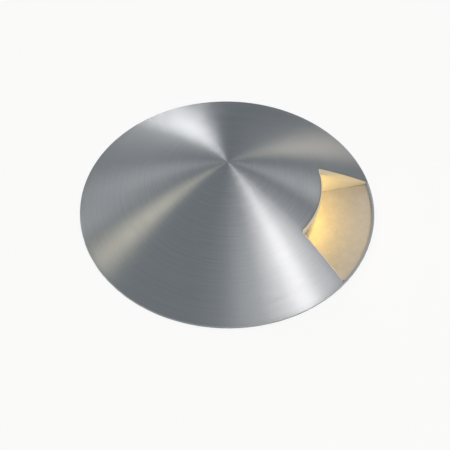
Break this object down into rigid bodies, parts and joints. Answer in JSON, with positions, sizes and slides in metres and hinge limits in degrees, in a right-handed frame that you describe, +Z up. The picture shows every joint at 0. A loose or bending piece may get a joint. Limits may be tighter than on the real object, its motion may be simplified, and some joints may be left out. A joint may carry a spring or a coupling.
{
  "type": "in-ground light",
  "caption": "Round in-ground marker light: turned steel dome with a side window, over a sealed LED housing that hangs by its flange and lifts out of an installation sleeve.",
  "frame": {"origin": "bottom centre of the installation sleeve, on the light's axis", "axes": "+Z up along the light's axis, towards the dome; at rest the window opens towards +X and a little towards -Y; the sleeve's cable entry is on the +Y side"},
  "size_m": [0.12, 0.12, 0.122],
  "materials": {
    "turned_steel": "turned stainless steel with fine concentric tool lines",
    "spring_steel": "plain spring steel",
    "blasted_aluminium": "fine blasted satin",
    "cast_aluminium": "die cast, bead blasted",
    "polished_aluminium": "polished",
    "zinc_steel": "zinc plated",
    "brass": "nickel plated, satin",
    "cream_plastic": "matt reflector white, a little cream",
    "clear_glass": "clear toughened glass with ground edges",
    "lens_plastic": "clear moulded acrylic",
    "silicone": "red-brown silicone",
    "black_rubber": "matt",
    "black_plastic": "moulded polyamide",
    "grey_plastic": "moulded polypropylene",
    "white_plastic": "satin",
    "white_board": "white solder mask on an aluminium board",
    "phosphor": "yellow phosphor, lit warm white",
    "green_board": "green solder mask",
    "grey_pad": "filled silicone, matt",
    "red_wire": "smooth insulation"
  },
  "bodies": {
    "sleeve": {"sleeve_pot": "grey_plastic", "sleeve_grommet": "black_rubber"},
    "luminaire": {"flange_plate": "blasted_aluminium", "front_glass": "clear_glass", "glass_gasket": "silicone", "clamp_ring": "turned_steel", "clamp_screw_1": "zinc_steel", "clamp_screw_2": "zinc_steel", "clamp_screw_3": "zinc_steel", "clamp_screw_4": "zinc_steel", "glide_washer": "white_plastic", "housing_body": "cast_aluminium", "housing_gasket": "black_rubber", "flange_screw_1": "zinc_steel", "flange_screw_2": "zinc_steel", "flange_screw_3": "zinc_steel", "thermal_pad": "grey_pad", "led_board": "white_board", "led_chip": "phosphor", "led_holder": "white_plastic", "board_screw_1": "zinc_steel", "board_screw_2": "zinc_steel", "beam_lens": "lens_plastic", "led_wire_red": "red_wire", "led_wire_black": "black_plastic", "driver_tray": "black_plastic", "driver_board": "green_board", "driver_transformer": "black_plastic", "driver_capacitor": "grey_plastic", "terminal_block": "white_plastic", "base_plate": "cast_aluminium", "base_o_ring": "silicone", "base_screw_1": "zinc_steel", "base_screw_2": "zinc_steel", "base_screw_3": "zinc_steel", "breather_plug": "black_plastic", "gland_body": "black_plastic", "gland_locknut": "brass", "gland_seal": "black_rubber", "gland_nut": "black_plastic", "clip_bracket_1": "zinc_steel", "clip_bracket_2": "zinc_steel", "clip_pin_1": "zinc_steel", "clip_pin_2": "zinc_steel"},
    "turning_ring": {"turning_ring": "turned_steel", "stud_grip_1": "brass", "stud_grip_2": "brass", "stud_grip_3": "brass"},
    "cover": {"dome_cover": "turned_steel", "light_hood": "cream_plastic", "beam_cone": "polished_aluminium", "centre_stud": "zinc_steel", "cover_stud_1": "zinc_steel", "cover_stud_2": "zinc_steel", "cover_stud_3": "zinc_steel"},
    "clip_1": {"clip_arm_1": "spring_steel", "clip_spring_1": "spring_steel"},
    "clip_2": {"clip_arm_2": "spring_steel", "clip_spring_2": "spring_steel"}
  },
  "joints": [
    {"name": "luminaire_lift", "type": "slide", "parent": "sleeve", "child": "luminaire", "axis": [0, 0, 1], "range_m": [0, 0.045]},
    {"name": "cover_turn", "type": "hinge", "parent": "luminaire", "child": "turning_ring", "pos_m": [0, 0, 0.0932], "axis": [0, 0, 1], "continuous": true},
    {"name": "cover_pull", "type": "slide", "parent": "turning_ring", "child": "cover", "axis": [0, 0, 1], "range_m": [0, 0.008]},
    {"name": "clip_1_fold", "type": "hinge", "parent": "luminaire", "child": "clip_1", "pos_m": [0.0468, 0, 0.0429], "axis": [0, 1, 0], "range_deg": [-10, 0], "stiffness_Nm_per_rad": 0.05, "springref_deg": 20.05},
    {"name": "clip_2_fold", "type": "hinge", "parent": "luminaire", "child": "clip_2", "pos_m": [-0.0468, 0, 0.0429], "axis": [0, -1, 0], "range_deg": [-10, 0], "stiffness_Nm_per_rad": 0.05, "springref_deg": 20.05}
  ]
}
